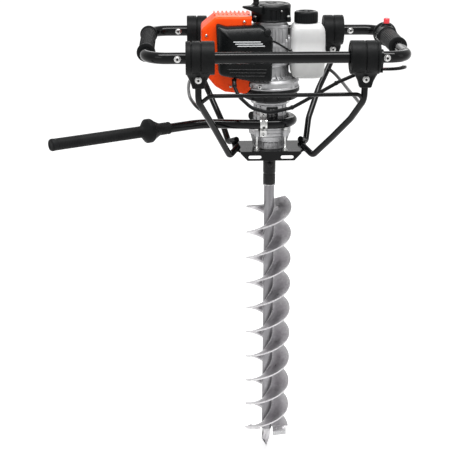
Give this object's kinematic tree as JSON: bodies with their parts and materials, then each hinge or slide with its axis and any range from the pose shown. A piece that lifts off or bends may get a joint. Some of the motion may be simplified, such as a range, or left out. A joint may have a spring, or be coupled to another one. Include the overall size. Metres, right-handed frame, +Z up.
{
  "type": "powered earth auger",
  "caption": "Two-handed petrol earth and ice auger: cage frame with rubber-mounted handle loops, upright engine and gearbox, reaction bar and twin-flight drill bit.",
  "frame": {"origin": "drive axis where it crosses the underside of the base plate", "axes": "+Z up the drive axis towards the engine, +X towards the throttle handle, +Y to the rear, away from the reaction bar's end"},
  "size_m": [0.8911, 0.5329, 1.268],
  "materials": {
    "frame_paint": "gloss black powder coat",
    "damper_rubber": "satin moulded rubber",
    "black_plastic": "fine moulded texture",
    "grip_rubber": "matt rubber",
    "cable_jacket": "satin jacket",
    "red_plastic": "gloss",
    "zinc_steel": "zinc plated",
    "cast_aluminium": "as cast",
    "black_casting": "painted casting",
    "orange_plastic": "semi gloss",
    "tank_plastic": "translucent blow-moulded polyethylene",
    "muffler_steel": "heat resistant paint",
    "machined_steel": "machined",
    "black_steel": "black oxide",
    "galvanised_steel": "galvanised, light wear"
  },
  "bodies": {
    "root": {"arm_front_left": "frame_paint", "arm_front_right": "frame_paint", "arm_rear_left": "frame_paint", "arm_rear_right": "frame_paint", "base_plate": "frame_paint", "carburettor": "cast_aluminium", "clutch_housing": "cast_aluminium", "control_cable": "cable_jacket", "crankcase": "cast_aluminium", "cylinder": "cast_aluminium", "damper_brackets": "black_plastic", "damper_front_left": "damper_rubber", "damper_front_right": "damper_rubber", "engine_shroud": "orange_plastic", "fan_housing": "cast_aluminium", "filter_cover": "black_plastic", "frame_bolts": "zinc_steel", "front_bar": "frame_paint", "front_rail": "frame_paint", "fuel_line": "cable_jacket", "fuel_tank": "tank_plastic", "gearbox_housing": "cast_aluminium", "gearbox_studs": "zinc_steel", "grip_left": "grip_rubber", "handle_loop_left": "frame_paint", "handle_loop_right": "frame_paint", "lever_bracket": "frame_paint", "lower_shroud": "orange_plastic", "mounting_flange": "black_casting", "muffler": "muffler_steel", "reaction_bar": "frame_paint", "reaction_clamps": "zinc_steel", "reaction_grip": "grip_rubber", "rear_bar": "frame_paint", "rear_dampers": "damper_rubber", "shaft_bearings": "machined_steel", "side_rails": "frame_paint", "spark_plug": "machined_steel", "starter_housing": "black_plastic", "throttle_grip": "black_plastic"},
    "auger": {"output_shaft": "machined_steel", "main_gear": "machined_steel", "coupling_sleeve": "black_steel", "coupling_pin": "zinc_steel", "bit_shaft": "galvanised_steel", "bit_flights": "galvanised_steel", "cutter_blades": "galvanised_steel", "pilot_point": "galvanised_steel"},
    "layshaft": {"lay_gear": "machined_steel"},
    "drum": {"clutch_drum": "machined_steel"},
    "crank": {"crankshaft": "machined_steel", "flywheel": "cast_aluminium", "clutch_shoes": "machined_steel"},
    "piston": {"piston": "cast_aluminium"},
    "pulley": {"starter_pulley": "black_plastic"},
    "pull_handle": {"starter_handle": "black_plastic"},
    "stop_button": {"stop_button": "red_plastic"},
    "lever": {"throttle_lever": "frame_paint"},
    "throttle": {"throttle_shaft": "black_plastic"},
    "cap": {"fuel_cap": "black_plastic"}
  },
  "joints": [
    {"name": "auger_spin", "type": "hinge", "parent": "root", "child": "auger", "pos_m": [0, 0, 0], "axis": [0, 0, 1], "continuous": true},
    {"name": "layshaft_spin", "type": "hinge", "parent": "root", "child": "layshaft", "pos_m": [0.0256, 0, 0], "axis": [0, 0, 1], "continuous": true},
    {"name": "drum_spin", "type": "hinge", "parent": "root", "child": "drum", "pos_m": [0, 0, 0], "axis": [0, 0, 1], "continuous": true},
    {"name": "crank_spin", "type": "hinge", "parent": "root", "child": "crank", "pos_m": [0, 0, 0], "axis": [0, 0, 1], "continuous": true},
    {"name": "piston_stroke", "type": "slide", "parent": "root", "child": "piston", "axis": [1, 0, 0], "range_m": [0, 0.034]},
    {"name": "starter_pull", "type": "slide", "parent": "root", "child": "pull_handle", "axis": [0, 0, 1], "range_m": [0, 0.55], "stiffness_N_per_m": 12, "springref_m": -0.4},
    {"name": "pulley_turn", "type": "hinge", "parent": "root", "child": "pulley", "pos_m": [0, 0, 0], "axis": [0, 0, 1], "range_deg": [0, 1052]},
    {"name": "stop_press", "type": "slide", "parent": "root", "child": "stop_button", "axis": [0, 0, -1], "range_m": [0, 0.0025], "stiffness_N_per_m": 600, "springref_m": -0.001},
    {"name": "lever_squeeze", "type": "hinge", "parent": "root", "child": "lever", "pos_m": [0.2484, -0.215, 0.243], "axis": [0, -1, 0], "range_deg": [0, 8], "stiffness_Nm_per_rad": 1.5, "springref_deg": -5.73},
    {"name": "throttle_turn", "type": "hinge", "parent": "root", "child": "throttle", "pos_m": [-0.07, -0.075, 0.26], "axis": [0, 0, -1], "range_deg": [0, 72.5]},
    {"name": "cap_turn", "type": "hinge", "parent": "root", "child": "cap", "pos_m": [0.087, -0.02, 0.33], "axis": [0, 0, 1], "continuous": true}
  ],
  "couplings": [
    {"joint": "layshaft_spin", "follows": "auger_spin", "ratio": -4.8182},
    {"joint": "drum_spin", "follows": "auger_spin", "ratio": 23.215},
    {"joint": "pulley_turn", "follows": "starter_pull", "rad_per_m": 33.333},
    {"joint": "throttle_turn", "follows": "lever_squeeze", "ratio": 9}
  ]
}
